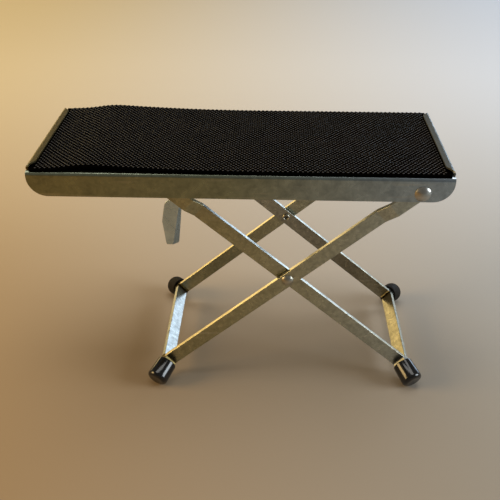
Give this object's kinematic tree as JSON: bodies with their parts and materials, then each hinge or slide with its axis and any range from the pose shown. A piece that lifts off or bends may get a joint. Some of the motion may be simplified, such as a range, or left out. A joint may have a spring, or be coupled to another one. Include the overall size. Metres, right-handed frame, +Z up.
{
  "type": "guitar footrest",
  "caption": "Folding footrest with a rubber-covered sheet-metal footplate on crossed flat-steel legs with rubber foot caps and a release lever for its height.",
  "frame": {"origin": "on the floor, under the middle of the footplate", "axes": "+Z up from the floor; +X along the footplate, from the sliding rod towards the fixed leg pivots; +Y across the footplate to its far side"},
  "size_m": [0.27, 0.1312, 0.1736],
  "materials": {
    "plated_sheet": "zinc plated, satin",
    "plated_strip": "zinc plated, bright",
    "plated_hardware": "zinc plated",
    "spring_steel": "polished",
    "mat_rubber": "ribbed with small bumps, matte",
    "cap_rubber": "smooth, glossy",
    "shoe_plastic": "moulded, low friction"
  },
  "bodies": {
    "footplate": {"footplate_tray": "plated_sheet", "rubber_mat": "mat_rubber", "guide_rail_near": "plated_sheet", "guide_rail_far": "plated_sheet", "rail_rivets": "plated_hardware", "pivot_rivets": "plated_hardware", "pivot_washers": "plated_hardware"},
    "outer_legs": {"outer_leg": "plated_strip", "crossing_rivets": "plated_hardware", "crossing_washers": "plated_hardware", "foot_caps_outer": "cap_rubber"},
    "inner_legs": {"inner_leg": "plated_strip", "cross_rod": "plated_hardware", "rod_push_nuts": "plated_hardware", "rod_spacers_short": "plated_hardware", "rod_spacer_long": "plated_hardware", "foot_caps_inner": "cap_rubber"},
    "carriage": {"slide_shoe_near": "shoe_plastic", "slide_shoe_far": "shoe_plastic", "leaf_spring": "spring_steel", "leaf_spring_rivet": "plated_hardware"},
    "lever": {"release_lever": "plated_sheet"}
  },
  "joints": [
    {"name": "fold", "type": "hinge", "parent": "footplate", "child": "outer_legs", "pos_m": [0.1154, 0, 0.15719], "axis": [0, 1, 0], "range_deg": [-14.42, 36.5]},
    {"name": "crossing", "type": "hinge", "parent": "outer_legs", "child": "inner_legs", "pos_m": [0.03252, 0, 0.0864], "axis": [0, 1, 0], "range_deg": [-73, 28.84]},
    {"name": "rod_turn", "type": "hinge", "parent": "inner_legs", "child": "carriage", "pos_m": [-0.05037, 0, 0.15719], "axis": [0, 1, 0], "range_deg": [-14.42, 36.5]},
    {"name": "release", "type": "hinge", "parent": "carriage", "child": "lever", "pos_m": [-0.05037, 0, 0.15719], "axis": [0, 1, 0], "range_deg": [-7, 0], "stiffness_Nm_per_rad": 0.05, "springref_deg": -8.02}
  ],
  "couplings": [
    {"joint": "crossing", "follows": "fold", "ratio": -2},
    {"joint": "rod_turn", "follows": "fold", "ratio": 1}
  ]
}
